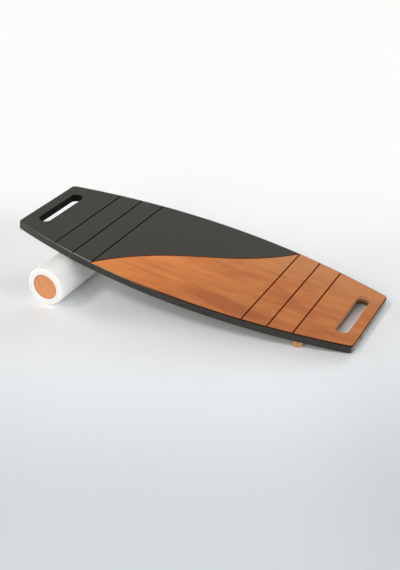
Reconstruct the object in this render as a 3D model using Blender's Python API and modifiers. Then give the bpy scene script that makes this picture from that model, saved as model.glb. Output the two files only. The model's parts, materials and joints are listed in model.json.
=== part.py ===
"""A balance roller board: a bowed two-tone deck that rides on a loose roller.

Metres, +Z up. +X runs along the deck to its wood-faced end and -Y to its front long side. The board
stands as it is left on a floor: the roller lies against the left stop rail and the right end is down.
"""

import math

import bpy
import bmesh

# Deck
DECK_LENGTH = 0.765
DECK_END_WIDTH = 0.211
DECK_MIDDLE_WIDTH = 0.327
DECK_THICKNESS = 0.018
DECK_CORNER_RADIUS = 0.011
DECK_ROUND_OVER = 0.0025

# Hand slots, one near each end
SLOT_LENGTH = 0.150
SLOT_WIDTH = 0.027
SLOT_FROM_END = 0.038

# Grooves in the deck's top, three across each half and one winding along the parting of the two colours
GROOVES_PER_HALF = 3
GROOVE_PITCH = 0.0505
OUTER_GROOVE_FROM_END = 0.1125
GROOVE_WIDTH = 0.003
GROOVE_DEPTH = 0.002
PARTING_SLOPE = 0.614
PARTING_SHIFT = 0.005

# Stop rails under the deck: the right one starts at the front long side, the left one at the back
RAIL_WIDTH = 0.024
RAIL_HEIGHT = 0.0115
RAIL_FROM_END = 0.1026
RAIL_SHORT_OF_EDGE = 0.0005
RAIL_SHORT_OF_FAR_EDGE = 0.018
RAIL_ROUND_OVER = 0.0015

# Countersunk wood screws, up through each rail into the deck
SCREWS_PER_RAIL = 3
SCREW_FROM_RAIL_END = 0.025
SCREW_HEAD_RADIUS = 0.004
SCREW_HEAD_HEIGHT = 0.0024
SCREW_HEAD_RIM = 0.0004
SCREW_SHANK_RADIUS = 0.002
SCREW_POINT = 0.004
SCREW_SET_IN = 0.0005
SCREW_COVER = 0.004
RECESS_SPAN = 0.0044
RECESS_WIDTH = 0.0013
RECESS_TIP_WIDTH = 0.0009
RECESS_DEPTH = 0.0014

# Roller: a thick tube with a wooden plug set into each end, lying a little towards the deck's front
ROLLER_RADIUS = 0.041
ROLLER_LENGTH = 0.370
ROLLER_TOWARDS_FRONT = 0.025
ROLLER_RIM_ROUND = 0.0045
BORE_RADIUS = 0.0275
BORE_RIM_ROUND = 0.001
PLUG_LENGTH = 0.020
PLUG_SET_IN = 0.0015
PLUG_ROUND = 0.0008

# Space left between pieces that touch
CLEARANCE = 0.0003

# Points this close are made one, and groove cutters run this far past the deck's edge and above its top
WELD_DISTANCE = 0.00001
PAST_EDGE = 0.006
ABOVE_TOP = 0.001

# How finely the round shapes are cut
SIDE_STEPS = 14
CORNER_STEPS = 5
SLOT_END_STEPS = 10
RAIL_END_STEPS = 8
PARTING_STEPS = 28
ROLLER_STEPS = 72
PLUG_STEPS = 48
SCREW_STEPS = 20
ROLLER_RIM_STEPS = 4
EDGE_STEPS = 2

CHARCOAL_PAINT = (0.061, 0.061, 0.052, 1)
OILED_WOOD = (0.56, 0.21, 0.075, 1)
PALE_WOOD = (0.62, 0.46, 0.28, 1)
PLUG_WOOD = (0.45, 0.16, 0.055, 1)
WHITE_TUBE = (0.80, 0.80, 0.78, 1)
ZINC = (0.62, 0.61, 0.58, 1)


def clear_scene():
    for old in list(bpy.data.objects):
        bpy.data.objects.remove(old, do_unlink=True)


def new_collection(name):
    collection = bpy.data.collections.new(name)
    bpy.context.scene.collection.children.link(collection)
    return collection


def material(name, colour, roughness, metallic=0.0):
    made = bpy.data.materials.new(name)
    made.use_nodes = True
    made.diffuse_color = colour
    shader = made.node_tree.nodes["Principled BSDF"]
    shader.inputs["Base Color"].default_value = colour
    shader.inputs["Roughness"].default_value = roughness
    shader.inputs["Metallic"].default_value = metallic
    return made


def arc(x, y, radius, start, end, steps):
    """Points on a round from one angle to another, both ends included."""
    angles = [start + (end - start) * i / steps for i in range(steps + 1)]
    return [(x + radius * math.cos(a), y + radius * math.sin(a)) for a in angles]


def half_width(x):
    """Half the deck's width at x: its long sides are one shallow parabola each."""
    share = (2 * x / DECK_LENGTH) ** 2
    return (DECK_MIDDLE_WIDTH + (DECK_END_WIDTH - DECK_MIDDLE_WIDTH) * share) / 2


def side_angle(x):
    """How steeply the long side runs in towards the end of the deck at x."""
    return math.atan(4 * x * (DECK_MIDDLE_WIDTH - DECK_END_WIDTH) / DECK_LENGTH**2)


def corner_start():
    """Where the long side gives way to the round of the corner, which is tangent to it."""
    x = DECK_LENGTH / 2
    for _ in range(20):
        x = DECK_LENGTH / 2 - DECK_CORNER_RADIUS * (1 - math.sin(side_angle(x)))
    return x


def deck_outline():
    start = corner_start()
    lean = side_angle(start)
    centre_x = DECK_LENGTH / 2 - DECK_CORNER_RADIUS
    centre_y = half_width(start) - DECK_CORNER_RADIUS * math.cos(lean)
    side = [(start * i / SIDE_STEPS, half_width(start * i / SIDE_STEPS)) for i in range(SIDE_STEPS)]
    corner = arc(centre_x, centre_y, DECK_CORNER_RADIUS, math.pi / 2 - lean, 0, CORNER_STEPS)
    quarter = side + corner
    back = [(-x, y) for x, y in reversed(quarter[1:])] + quarter
    return back + [(x, -y) for x, y in reversed(back)]


def stadium(x, half_length, radius, steps):
    """An outline with round ends whose length runs along Y."""
    reach = half_length - radius
    return arc(x, reach, radius, 0, math.pi, steps) + arc(x, -reach, radius, math.pi, 2 * math.pi, steps)


def groove_from_middle(number):
    """How far one of a half's grooves is from the deck's middle, counted from the innermost, 0."""
    outer = DECK_LENGTH / 2 - OUTER_GROOVE_FROM_END
    return outer - GROOVE_PITCH * (GROOVES_PER_HALF - 1 - number)


def parting(x):
    """The winding line between paint and wood, which meets the deck's edge at the innermost grooves."""
    inner = groove_from_middle(0)
    bend = (half_width(inner) - PARTING_SLOPE * inner) / inner**3
    fade = 1 - (x / inner) ** 2
    return PARTING_SLOPE * x + bend * x**3 + PARTING_SHIFT * fade


def to_mesh(curve_object, name):
    """A curve object made one closed mesh, its caps welded on, and the curve removed."""
    bpy.context.view_layer.update()
    evaluated = curve_object.evaluated_get(bpy.context.evaluated_depsgraph_get())
    mesh = bpy.data.meshes.new_from_object(evaluated)
    mesh.name = name
    bpy.data.objects.remove(curve_object)
    welding = bmesh.new()
    welding.from_mesh(mesh)
    bmesh.ops.remove_doubles(welding, verts=welding.verts, dist=WELD_DISTANCE)
    bmesh.ops.recalc_face_normals(welding, faces=welding.faces)
    welding.to_mesh(mesh)
    welding.free()
    return mesh


def slab_mesh(name, outlines, thickness, round_over):
    """A flat slab about z = 0 with rounded rims. Outlines after the first are holes."""
    curve = bpy.data.curves.new(name, "CURVE")
    curve.dimensions = "2D"
    curve.fill_mode = "BOTH"
    curve.extrude = thickness / 2 - round_over
    curve.bevel_depth = round_over
    curve.bevel_resolution = EDGE_STEPS
    curve.offset = -round_over
    for outline in outlines:
        spline = curve.splines.new("POLY")
        spline.points.add(len(outline) - 1)
        for point, (x, y) in zip(spline.points, outline):
            point.co = (x, y, 0, 1)
        spline.use_cyclic_u = True
    guide = bpy.data.objects.new(name, curve)
    bpy.context.scene.collection.objects.link(guide)
    return to_mesh(guide, name)


def turned_mesh(name, profile, steps, closed=False):
    """A profile of (radius, height) points turned about Z. A closed one goes round a bore."""
    mesh = bpy.data.meshes.new(name)
    count = len(profile)
    edges = [(i, i + 1) for i in range(count - 1)] + ([(count - 1, 0)] if closed else [])
    mesh.from_pydata([(x, 0, z) for x, z in profile], edges, [])
    guide = bpy.data.objects.new(name, mesh)
    bpy.context.scene.collection.objects.link(guide)
    turn = guide.modifiers.new("turn", "SCREW")
    turn.steps = steps
    turn.render_steps = steps
    turn.use_merge_vertices = True
    turn.merge_threshold = WELD_DISTANCE
    return to_mesh(guide, name)


def place(name, mesh, collection, finishes, parent, location, rotation=(0, 0, 0)):
    made = bpy.data.objects.new(name, mesh)
    collection.objects.link(made)
    made.parent = parent
    made.location = location
    made.rotation_euler = rotation
    if not mesh.materials:
        for finish in finishes:
            mesh.materials.append(finish)
    mesh.shade_smooth()
    mesh.set_sharp_from_angle(angle=math.radians(35))
    return made


def place_cutter(name, mesh, cutters, parent, location, rotation=(0, 0, 0)):
    made = place(name, mesh, cutters, [], parent, location, rotation)
    made.hide_render = True
    made.display_type = "WIRE"
    return made


def cut(piece, cutter):
    boolean = piece.modifiers.new(cutter.name, "BOOLEAN")
    boolean.operation = "DIFFERENCE"
    boolean.solver = "EXACT"
    boolean.object = cutter


def new_empty(name, collection, location, rotation=(0, 0, 0)):
    made = bpy.data.objects.new(name, None)
    made.empty_display_size = 0.05
    collection.objects.link(made)
    made.location = location
    made.rotation_euler = rotation
    return made


# Places that follow from the sizes above


def rail_centre():
    return DECK_LENGTH / 2 - RAIL_FROM_END


def rail_half_length():
    return half_width(rail_centre()) - (RAIL_SHORT_OF_EDGE + RAIL_SHORT_OF_FAR_EDGE) / 2


def rail_place(side):
    """The middle of a rail on the deck. The two are half a turn apart: side is -1 for left, 1 for right."""
    towards_edge = (RAIL_SHORT_OF_FAR_EDGE - RAIL_SHORT_OF_EDGE) / 2
    return side * rail_centre(), -side * towards_edge


def roller_from_middle():
    """How far the roller's axis is from the deck's middle when it rests on a rail's lower edge."""
    drop = RAIL_HEIGHT + CLEARANCE - RAIL_ROUND_OVER
    across = ROLLER_RADIUS + CLEARANCE + RAIL_ROUND_OVER
    reach = math.sqrt(across**2 - (ROLLER_RADIUS + CLEARANCE - drop) ** 2)
    return rail_centre() - RAIL_WIDTH / 2 + RAIL_ROUND_OVER - reach


def slope_onto_floor(x, z, rounding):
    """The tilt that brings a rounded edge down to the floor, its middle at x, z from the roller's axis."""
    reach = math.hypot(x, z)
    return math.atan2(z, x) + math.asin((ROLLER_RADIUS - rounding) / reach)


def resting_slope():
    """The deck lies on its end, or on a rail if that is so deep that it comes down first."""
    underside = ROLLER_RADIUS + CLEARANCE
    end_x = roller_from_middle() + DECK_LENGTH / 2 - DECK_ROUND_OVER
    end = slope_onto_floor(end_x, underside + DECK_ROUND_OVER, DECK_ROUND_OVER)
    rail_x = roller_from_middle() + rail_centre() + RAIL_WIDTH / 2 - RAIL_ROUND_OVER
    rail_z = underside - CLEARANCE - RAIL_HEIGHT + RAIL_ROUND_OVER
    rail = slope_onto_floor(rail_x, rail_z, RAIL_ROUND_OVER)
    return min(end, rail)


def axis_from_middle_of_box(slope):
    """Where the roller's axis lies along X, so that the whole board's box is centred on the origin."""
    low = ROLLER_RADIUS + CLEARANCE + DECK_ROUND_OVER
    high = ROLLER_RADIUS + CLEARANCE + DECK_THICKNESS - DECK_ROUND_OVER
    left_end = DECK_LENGTH / 2 - roller_from_middle() - DECK_ROUND_OVER
    right_end = DECK_LENGTH / 2 + roller_from_middle() - DECK_ROUND_OVER
    left = -left_end * math.cos(slope) + low * math.sin(slope) - DECK_ROUND_OVER
    right = right_end * math.cos(slope) + high * math.sin(slope) + DECK_ROUND_OVER
    return -(left + right) / 2


def centre_line_from_middle_of_box():
    """Where the deck's centre line lies along Y, as the roller sticks out more in front than behind."""
    front = max(DECK_MIDDLE_WIDTH / 2, ROLLER_LENGTH / 2 + ROLLER_TOWARDS_FRONT)
    back = max(DECK_MIDDLE_WIDTH / 2, ROLLER_LENGTH / 2 - ROLLER_TOWARDS_FRONT)
    return (front - back) / 2


def screw_length():
    """From the head set into the rail to the point, which stops short of the deck's top."""
    return RAIL_HEIGHT - SCREW_SET_IN + CLEARANCE + DECK_THICKNESS - SCREW_COVER


def screw_places(side):
    """The x, y of each of a rail's screws on the deck, front to back."""
    x, middle_y = rail_place(side)
    reach = rail_half_length() - SCREW_FROM_RAIL_END
    steps = [2 * i / (SCREWS_PER_RAIL - 1) - 1 for i in range(SCREWS_PER_RAIL)]
    return [(x, middle_y + reach * step) for step in steps]


# Pieces


def groove_cutter_mesh(name, path):
    """A bar of diamond section, widest just above the deck's top, which leaves a V of the groove's depth."""
    half_height = GROOVE_DEPTH + ABOVE_TOP
    widest = GROOVE_WIDTH * half_height / GROOVE_DEPTH
    curve = bpy.data.curves.new(name, "CURVE")
    curve.dimensions = "3D"
    curve.twist_mode = "Z_UP"
    curve.bevel_depth = widest / 2
    curve.bevel_resolution = 0
    curve.use_fill_caps = True
    spline = curve.splines.new("POLY")
    spline.points.add(len(path) - 1)
    for point, (x, y) in zip(spline.points, path):
        point.co = (x, y, 0, 1)
    guide = bpy.data.objects.new(name, curve)
    bpy.context.scene.collection.objects.link(guide)
    mesh = to_mesh(guide, name)
    for vertex in mesh.vertices:
        vertex.co.z = vertex.co.z * half_height / (widest / 2) + ABOVE_TOP
    return mesh


def groove_paths():
    found = []
    for side in (-1, 1):
        for i in range(GROOVES_PER_HALF):
            x = side * groove_from_middle(i)
            y = half_width(x) + PAST_EDGE
            found.append([(x, -y), (x, y)])
    reach = groove_from_middle(0) + PAST_EDGE / 2
    places = [reach * (2 * i / PARTING_STEPS - 1) for i in range(PARTING_STEPS + 1)]
    found.append([(x, parting(x)) for x in places])
    return found


def make_deck_panel(board, cutters, carrier, middle, paint, wood):
    slot_x = DECK_LENGTH / 2 - SLOT_FROM_END
    slots = [stadium(x, SLOT_LENGTH / 2, SLOT_WIDTH / 2, SLOT_END_STEPS) for x in (-slot_x, slot_x)]
    mesh = slab_mesh("deck_panel", [deck_outline()] + slots, DECK_THICKNESS, DECK_ROUND_OVER)
    panel = place("deck_panel", mesh, board, [paint, wood], carrier, middle)
    top = (middle[0], middle[1], middle[2] + DECK_THICKNESS / 2)
    for number, path in enumerate(groove_paths(), 1):
        name = f"groove_{number}"
        cut(panel, place_cutter(name, groove_cutter_mesh(name, path), cutters, carrier, top))
    return panel


def paint_deck(panel):
    """The cut deck as one mesh. Its top stays bare wood on the right of the parting line."""
    least_upward = 0.3
    bpy.context.view_layer.update()
    evaluated = panel.evaluated_get(bpy.context.evaluated_depsgraph_get())
    mesh = bpy.data.meshes.new_from_object(evaluated)
    panel.modifiers.clear()
    panel.data = mesh
    for face in mesh.polygons:
        x, y, z = face.center
        within = abs(x) < groove_from_middle(0)
        bare = y < parting(x) if within else x > 0
        face.material_index = int(bare and face.normal.z > least_upward)


def screw_profile(clearance=0.0, above=0.0):
    """Down the screw from the middle of its head to its point, grown by a clearance for its hole."""
    head = SCREW_HEAD_RADIUS + clearance
    shank = SCREW_SHANK_RADIUS + clearance
    length = screw_length()
    rim = SCREW_HEAD_RIM + clearance
    return [
        (0, above),
        (head, above),
        (head, -rim),
        (shank, -SCREW_HEAD_HEIGHT - clearance),
        (shank, SCREW_POINT - length),
        (0, -length - clearance),
    ]


def recess_mesh():
    """A cross for the driver, its arms narrowing to their tips, standing half in the screw's head."""
    arm = RECESS_SPAN / 2
    tip = RECESS_TIP_WIDTH / 2
    side = RECESS_WIDTH / 2
    outline = []
    for turn in range(4):
        angle = turn * math.pi / 2
        for x, y in ((arm, -tip), (arm, tip), (side, side)):
            across = x * math.cos(angle) - y * math.sin(angle)
            along = x * math.sin(angle) + y * math.cos(angle)
            outline.append((across, along))
    return slab_mesh("screw_recess", [outline], 2 * RECESS_DEPTH, 0)


def screw_mesh(cutters, finish):
    blank = bpy.data.objects.new("screw_blank", turned_mesh("screw", screw_profile(), SCREW_STEPS))
    cutters.objects.link(blank)
    recess = place_cutter("screw_recess", recess_mesh(), cutters, None, (0, 0, 0))
    cut(blank, recess)
    bpy.context.view_layer.update()
    evaluated = blank.evaluated_get(bpy.context.evaluated_depsgraph_get())
    mesh = bpy.data.meshes.new_from_object(evaluated)
    mesh.name = "screw"
    mesh.materials.clear()
    mesh.materials.append(finish)
    bpy.data.objects.remove(blank)
    return mesh


def make_stop_rail(name, side, board, carrier, middle, finish):
    outline = stadium(0, rail_half_length(), RAIL_WIDTH / 2, RAIL_END_STEPS)
    mesh = slab_mesh(name, [outline], RAIL_HEIGHT, RAIL_ROUND_OVER)
    x, y = rail_place(side)
    z = middle[2] - DECK_THICKNESS / 2 - CLEARANCE - RAIL_HEIGHT / 2
    return place(name, mesh, board, [finish], carrier, (middle[0] + x, middle[1] + y, z))


def fit_screws(name, side, board, cutters, carrier, middle, pieces, mesh):
    """Screws stand head down in countersunk holes through a rail and on into the deck."""
    hole = turned_mesh("screw_hole", screw_profile(CLEARANCE, RAIL_HEIGHT), SCREW_STEPS)
    head_z = middle[2] - DECK_THICKNESS / 2 - CLEARANCE - RAIL_HEIGHT + SCREW_SET_IN
    head_down = (math.pi, 0, 0)
    for number, (x, y) in enumerate(screw_places(side), 1):
        at = (middle[0] + x, middle[1] + y, head_z)
        place(f"{name}_screw_{number}", mesh, board, [], carrier, at, head_down)
        cutter = place_cutter(f"{name}_hole_{number}", hole, cutters, carrier, at, head_down)
        for piece in pieces:
            cut(piece, cutter)


def make_roller_tube(board, axis, finish):
    half = ROLLER_LENGTH / 2
    bore_half = half - BORE_RIM_ROUND
    rim = half - ROLLER_RIM_ROUND
    outer = ROLLER_RADIUS - ROLLER_RIM_ROUND
    inner = BORE_RADIUS + BORE_RIM_ROUND
    right, up, left, down = 0, math.pi / 2, math.pi, -math.pi / 2
    profile = arc(outer, rim, ROLLER_RIM_ROUND, up, right, ROLLER_RIM_STEPS)
    profile += arc(outer, -rim, ROLLER_RIM_ROUND, right, down, ROLLER_RIM_STEPS)
    profile += arc(inner, -bore_half, BORE_RIM_ROUND, down, -left, EDGE_STEPS)
    profile += arc(inner, bore_half, BORE_RIM_ROUND, left, up, EDGE_STEPS)
    mesh = turned_mesh("roller_tube", profile, ROLLER_STEPS, closed=True)
    return place("roller_tube", mesh, board, [finish], axis, (0, 0, 0), (math.pi / 2, 0, 0))


def make_end_plug(name, towards, board, axis, finish):
    """A wooden disc glued into one end of the tube, its face a little inside the tube's rim."""
    radius = BORE_RADIUS - CLEARANCE
    half = PLUG_LENGTH / 2
    edge = radius - PLUG_ROUND
    face = half - PLUG_ROUND
    profile = [(0, half)] + arc(edge, face, PLUG_ROUND, math.pi / 2, 0, EDGE_STEPS)
    profile += arc(edge, -face, PLUG_ROUND, 0, -math.pi / 2, EDGE_STEPS) + [(0, -half)]
    mesh = turned_mesh(name, profile, PLUG_STEPS)
    y = towards * (ROLLER_LENGTH / 2 - PLUG_SET_IN - half)
    return place(name, mesh, board, [finish], axis, (0, y, 0), (math.pi / 2, 0, 0))


def main():
    clear_scene()
    board = new_collection("balance_roller_board")
    cutters = new_collection("cutters")
    paint = material("charcoal_paint", CHARCOAL_PAINT, 0.45)
    wood = material("oiled_wood", OILED_WOOD, 0.42)
    rail_wood = material("pale_wood", PALE_WOOD, 0.55)
    plug_wood = material("plug_wood", PLUG_WOOD, 0.5)
    tube_white = material("white_tube", WHITE_TUBE, 0.35)
    zinc = material("zinc_plate", ZINC, 0.35, 1.0)

    slope = resting_slope()
    across = axis_from_middle_of_box(slope)
    centre_line = centre_line_from_middle_of_box()
    axis = new_empty("roller_axis", board, (across, centre_line - ROLLER_TOWARDS_FRONT, ROLLER_RADIUS))
    carrier = new_empty("deck_tilt_axis", board, (across, centre_line, ROLLER_RADIUS), (0, slope, 0))
    middle = (roller_from_middle(), 0, ROLLER_RADIUS + CLEARANCE + DECK_THICKNESS / 2)

    panel = make_deck_panel(board, cutters, carrier, middle, paint, wood)
    screw = screw_mesh(cutters, zinc)
    for name, side in (("left_stop_rail", -1), ("right_stop_rail", 1)):
        rail = make_stop_rail(name, side, board, carrier, middle, rail_wood)
        fit_screws(name, side, board, cutters, carrier, middle, [rail, panel], screw)
    paint_deck(panel)
    make_roller_tube(board, axis, tube_white)
    make_end_plug("front_end_plug", -1, board, axis, plug_wood)
    make_end_plug("rear_end_plug", 1, board, axis, plug_wood)


main()
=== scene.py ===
"""The looks of a balance roller board, laid out as an add-on with one operator for each group of pieces.

Metres, +Z up, in the frame of the packed model: +X runs along the deck to its wood-faced end and -Y to
its front long side, and the board stands on the floor at z = 0 with its right end down.
"""

import json
import math

import bmesh
import bpy
from bpy.props import FloatProperty, FloatVectorProperty, IntProperty, PointerProperty
from bpy.types import Operator, Panel, PropertyGroup
from mathutils import Matrix, Vector


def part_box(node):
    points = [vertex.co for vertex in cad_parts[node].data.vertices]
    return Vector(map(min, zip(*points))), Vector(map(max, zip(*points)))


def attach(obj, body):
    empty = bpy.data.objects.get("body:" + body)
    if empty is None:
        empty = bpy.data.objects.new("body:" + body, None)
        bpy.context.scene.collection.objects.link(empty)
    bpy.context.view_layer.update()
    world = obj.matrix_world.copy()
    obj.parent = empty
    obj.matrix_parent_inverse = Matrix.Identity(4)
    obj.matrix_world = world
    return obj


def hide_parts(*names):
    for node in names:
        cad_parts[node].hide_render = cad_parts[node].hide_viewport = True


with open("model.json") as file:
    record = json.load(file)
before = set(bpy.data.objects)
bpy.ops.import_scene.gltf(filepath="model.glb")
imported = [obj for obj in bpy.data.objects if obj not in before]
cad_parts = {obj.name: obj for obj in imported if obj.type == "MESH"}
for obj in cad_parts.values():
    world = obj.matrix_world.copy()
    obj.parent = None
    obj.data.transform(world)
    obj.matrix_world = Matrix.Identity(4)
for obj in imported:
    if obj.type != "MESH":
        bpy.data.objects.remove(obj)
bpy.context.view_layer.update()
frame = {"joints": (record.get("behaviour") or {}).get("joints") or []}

bl_info = {
    "name": "Balance Roller Board",
    "version": (1, 0, 0),
    "blender": (4, 5, 0),
    "location": "3D View > Sidebar > Roller Board",
    "description": "Makes a two-tone balance board on its loose roller",
    "category": "Add Mesh",
}


def box_of(node):
    """The middle and the extent of a CAD node."""
    lowest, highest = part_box(node)
    return (lowest + highest) / 2, highest - lowest


# Places taken from the frame: the deck lies on a slope, and the roller's axis runs along Y
JOINTS = {joint["name"]: joint for joint in frame["joints"]}
ALONG_DECK = Vector(JOINTS["deck_travel"]["axis"])
DECK_SLOPE = math.atan2(-ALONG_DECK.z, ALONG_DECK.x)
DECK_PLACE = Matrix.Translation(box_of("deck_panel")[0]) @ Matrix.Rotation(DECK_SLOPE, 4, "Y")
ROLLER_MIDDLE, ROLLER_EXTENT = box_of("roller_tube")

# Space left between pieces that touch, and the distance under which points are made one
CLEARANCE = 0.0003
WELD_DISTANCE = 0.00001

# How far up or down a face looks, from 0 to 1, where walls end, flats begin and the wood's top ends
WALL_NORMAL = 0.3
FLAT_NORMAL = 0.99
RIM_NORMAL = 0.95

# Two faces that meet at more than this have a sharp edge between them
SHARP_ANGLE = math.radians(35)

# Thickness of one of the deck's plies
PLY = 0.0036

# How wide a light looks from the board
BROAD = math.radians(40)
NARROW = math.radians(16)


# Settings


def a_number(description, default, **more):
    return FloatProperty, {"description": description, "default": default, **more}


def a_length(description, default):
    return a_number(description, default, unit="LENGTH", precision=4)


def an_angle(description, degrees):
    return a_number(description, math.radians(degrees), unit="ROTATION")


def a_strength(description, default):
    return a_number(description, default, min=0.0)


def a_count(description, default):
    return IntProperty, {"description": description, "default": default, "min": 1}


def a_colour(description, default):
    words = {"description": description, "default": default, "subtype": "COLOR", "min": 0.0, "max": 1.0}
    return FloatVectorProperty, words


def named(kind):
    """Makes a class's settings into properties, each named on the panel as it is in the class."""
    for label, (make, words) in kind.__annotations__.items():
        kind.__annotations__[label] = make(name=label.replace("_", " ").title(), **words)
    return kind


@named
class DeckSettings(PropertyGroup):
    """Sizes and colours of the deck."""

    length: a_length("The deck from end to end", 0.765)
    middle_width: a_length("The deck across its middle", 0.327)
    end_width: a_length("The deck across its ends, before they are rounded", 0.211)
    thickness: a_length("The deck from underside to top", 0.018)
    corner_radius: a_length("Round of the four corners in plan", 0.011)
    round_over: a_length("Round of the deck's rims", 0.0026)
    slot_length: a_length("A hand slot from end to end", 0.150)
    slot_width: a_length("A hand slot across", 0.027)
    slot_round: a_length("Round of the slots' rims", 0.0006)
    slot_from_end: a_length("The deck's end to the middle of its slot", 0.038)
    grooves_per_half: a_count("Straight grooves across each half of the top", 3)
    groove_pitch: a_length("One straight groove to the next", 0.0505)
    outer_groove: a_length("The deck's end to its nearest groove", 0.1125)
    groove_width: a_length("A groove across, at the top", 0.003)
    groove_depth: a_length("A groove from the top to its point", 0.002)
    groove_ease: a_length("Round of a groove's two rims", 0.0003)
    parting_slope: a_number("How steeply the winding line crosses the middle", 0.614)
    parting_shift: a_length("How far behind the middle the winding line crosses", 0.005)
    paint: a_colour("Charcoal paint of top, rims and underside", (0.028, 0.0285, 0.0235))
    # Pale and warm, used at the deck's two ends: a painted reflection of the glancing light on the end
    # faces
    rubbed_paint: a_colour("Paint rubbed pale at the two ends", (0.165, 0.140, 0.110))
    # Near black: painted shade in the grooves of the paint
    groove_paint: a_colour("Paint in the grooves", (0.0015, 0.0015, 0.0013))
    # Near black: painted shade on the walls of the painted end's slot
    slot_paint: a_colour("Paint in the painted end's slot", (0.004, 0.004, 0.0035))
    light_wood: a_colour("Lighter oiled wood of the top", (0.55, 0.188, 0.046))
    deep_wood: a_colour("Deeper oiled wood of the top", (0.36, 0.098, 0.024))
    # Paler and yellower towards the back: a painted sheen, for the glancing reflection there
    back_wood: a_colour("Yellower wood towards the back of the top", (0.56, 0.235, 0.082))
    # Pale at the wood's left tip: partly a painted highlight on the rounded rim
    rim_wood: a_colour("Pale wood along the rim, at the wood's tip", (0.56, 0.23, 0.08))
    stain: a_colour("Dark wood along the rest of the rim", (0.022, 0.008, 0.004))
    # Dark in the grooves: partly painted shade and partly finish gathered there
    groove_wood: a_colour("Dark wood in the grooves", (0.11, 0.017, 0.002))
    slot_wood: a_colour("Bare plies in the wood-faced end's slot", (0.60, 0.29, 0.14))


@named
class RailSettings(PropertyGroup):
    """Sizes and colours of the stop rails and their screws."""

    width: a_length("A rail across", 0.024)
    height: a_length("A rail from its underside to the deck", 0.0115)
    from_end: a_length("The deck's end to a rail's middle", 0.1026)
    short_of_edge: a_length("A rail's end to the deck's near edge", 0.0005)
    short_of_far_edge: a_length("A rail's other end to the deck's far edge", 0.018)
    round_over: a_length("Round of a rail's rims", 0.0015)
    screws: a_count("Screws in one rail", 3)
    screw_from_end: a_length("A rail's end to its first screw", 0.025)
    screw_set_in: a_length("A screw's head below the rail's face", 0.0005)
    screw_cover: a_length("A screw's point to the deck's top", 0.004)
    head_radius: a_length("A screw's head", 0.004)
    head_height: a_length("A screw's countersunk head, in height", 0.0024)
    head_rim: a_length("The straight rim of a screw's head", 0.0004)
    shank_radius: a_length("A screw's plain neck", 0.002)
    thread_radius: a_length("A screw's thread, outside", 0.0021)
    core_radius: a_length("A screw's thread, at its root", 0.0014)
    thread_pitch: a_length("One turn of the thread to the next", 0.0018)
    point: a_length("Length of a screw's point", 0.004)
    recess_span: a_length("The driver's cross from tip to tip", 0.0044)
    recess_width: a_length("One arm of the cross", 0.0012)
    recess_depth: a_length("Depth of the cross", 0.0014)
    light_wood: a_colour("Lighter wood of the rails", (0.48, 0.265, 0.13))
    deep_wood: a_colour("Deeper wood of the rails", (0.37, 0.185, 0.083))
    zinc: a_colour("Plated steel of the screws", (0.62, 0.61, 0.58))


@named
class RollerSettings(PropertyGroup):
    """Sizes and colours of the roller and its end plugs."""

    radius: a_length("The tube, outside", ROLLER_EXTENT.z / 2)
    length: a_length("The tube from end to end", ROLLER_EXTENT.y)
    rim_round: a_length("Round of the tube's outer rims", 0.0045)
    bore_radius: a_length("The tube, inside", 0.0275)
    bore_rim_round: a_length("Round of the tube's inner rims", 0.001)
    plug_length: a_length("A plug along the roller", 0.020)
    plug_set_in: a_length("A plug's face inside the tube's rim", 0.0015)
    plug_round: a_length("Round of a plug's rims", 0.0008)
    tube: a_colour("Satin white of the tube", (0.88, 0.88, 0.865))
    scuffs: a_colour("Marks where the tube rolls", (0.62, 0.61, 0.58))
    light_plug: a_colour("Lighter wood of the plugs", (0.75, 0.320, 0.128))
    deep_plug: a_colour("Deeper wood of the plugs", (0.65, 0.252, 0.096))
    # A painted shadow: the dark line in the gap round each plug
    glue: a_colour("Line of glue round a plug", (0.20, 0.062, 0.022))


@named
class StageSettings(PropertyGroup):
    """Floor, light and camera."""

    floor_size: a_length("Side of the square floor", 14.0)
    # Darker than the rest of the floor: painted shade, the light falling off in front of the board
    floor_near: a_colour("Floor in front of the board", (0.68, 0.725, 0.765))
    floor_middle: a_colour("Floor under and beside the board", (0.955, 0.975, 1.0))
    floor_far: a_colour("Floor behind the board", (0.99, 0.995, 0.99))
    lens: a_number("Focal length in millimetres", 61.017)
    distance: a_length("Camera to the point that it looks at", 2.0576)
    look_at_x: a_length("Where on the floor the camera looks", 0.0006)
    look_at_y: a_length("Where on the floor the camera looks", 0.0284)
    azimuth: an_angle("Turn of the camera round the board, from the front", 27.3508)
    elevation: an_angle("Camera above the horizon", 29.2264)
    roll: an_angle("Turn of the camera about its own view", -0.3977)
    front_light: a_strength("Broad soft light from low in front", 1.55)
    side_light: a_strength("High light from the front left", 0.90)
    rim_light: a_strength("Gives no light but the thin line on the deck's front rim", 3.0)
    left_light: a_strength("Broad soft light from low on the left", 1.5)
    right_light: a_strength("Broad soft light from low on the right", 2.2)
    back_light: a_strength("Broad soft light from low behind", 2.7)
    top_light: a_strength("High soft light from behind", 0.50)


# Wiring nodes


def find(sockets, label):
    """A node's socket by its identifier, or by its name where no identifier is the same."""
    for socket in sockets:
        if socket.identifier == label:
            return socket
    return sockets[label]


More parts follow.
